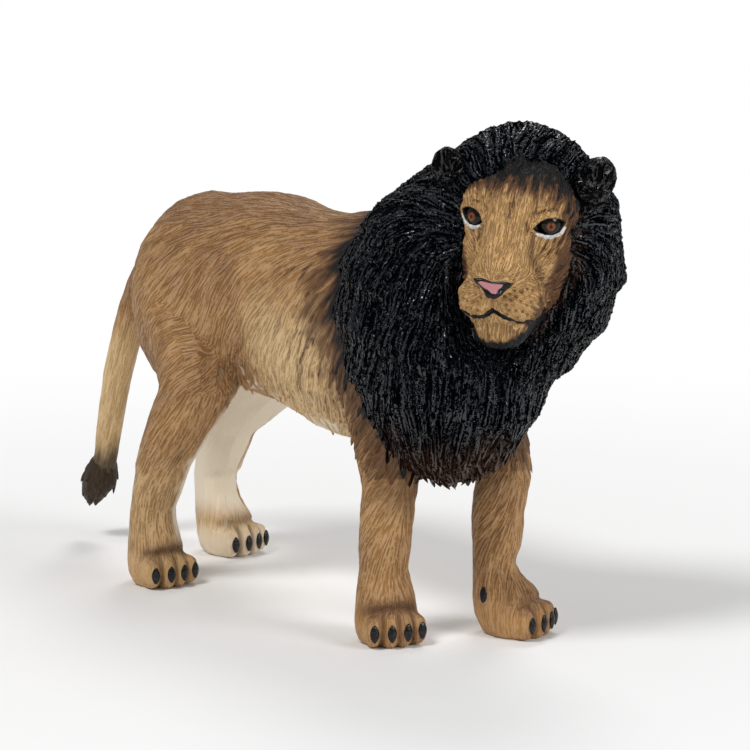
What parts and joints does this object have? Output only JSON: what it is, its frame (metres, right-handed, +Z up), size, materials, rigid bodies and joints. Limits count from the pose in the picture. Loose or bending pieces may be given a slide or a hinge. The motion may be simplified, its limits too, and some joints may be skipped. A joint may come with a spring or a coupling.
{
  "type": "toy lion figure",
  "caption": "Solid moulded toy lion that stands on its paws, with a dark mane, its head turned to its right and its tail hanging, for pretend play.",
  "frame": {"origin": "on the ground, under the middle of the figure's outline", "axes": "+X towards the chest, +Y to the lion's left, +Z up"},
  "size_m": [0.1458, 0.042, 0.093],
  "materials": {
    "coat": "tan paint over moulded fur strokes, darker along the back and cream under the belly",
    "face": "golden tan paint over short moulded hair, brown towards the mane",
    "mane": "near black paint with a slight gloss over moulded strands",
    "tuft": "dark grey paint over moulded strands",
    "eye": "glossy brown and black paint",
    "nose": "satin pink paint with a black edge",
    "claw": "glossy black paint"
  },
  "bodies": {
    "root": {"torso": "coat", "right_foreleg": "coat", "left_foreleg": "coat", "right_hind_leg": "coat", "left_hind_leg": "coat", "tail": "coat", "head": "face", "mane": "mane", "right_ear": "mane", "left_ear": "mane", "tail_tuft": "tuft", "right_eye": "eye", "left_eye": "eye", "nose": "nose", "right_foreleg_claw_1": "claw", "right_foreleg_claw_2": "claw", "right_foreleg_claw_3": "claw", "right_foreleg_claw_4": "claw", "right_foreleg_claw_5": "claw", "left_foreleg_claw_1": "claw", "left_foreleg_claw_2": "claw", "left_foreleg_claw_3": "claw", "left_foreleg_claw_4": "claw", "left_foreleg_claw_5": "claw", "right_hind_leg_claw_1": "claw", "right_hind_leg_claw_2": "claw", "right_hind_leg_claw_3": "claw", "right_hind_leg_claw_4": "claw", "left_hind_leg_claw_1": "claw", "left_hind_leg_claw_2": "claw", "left_hind_leg_claw_3": "claw", "left_hind_leg_claw_4": "claw"}
  },
  "joints": []
}
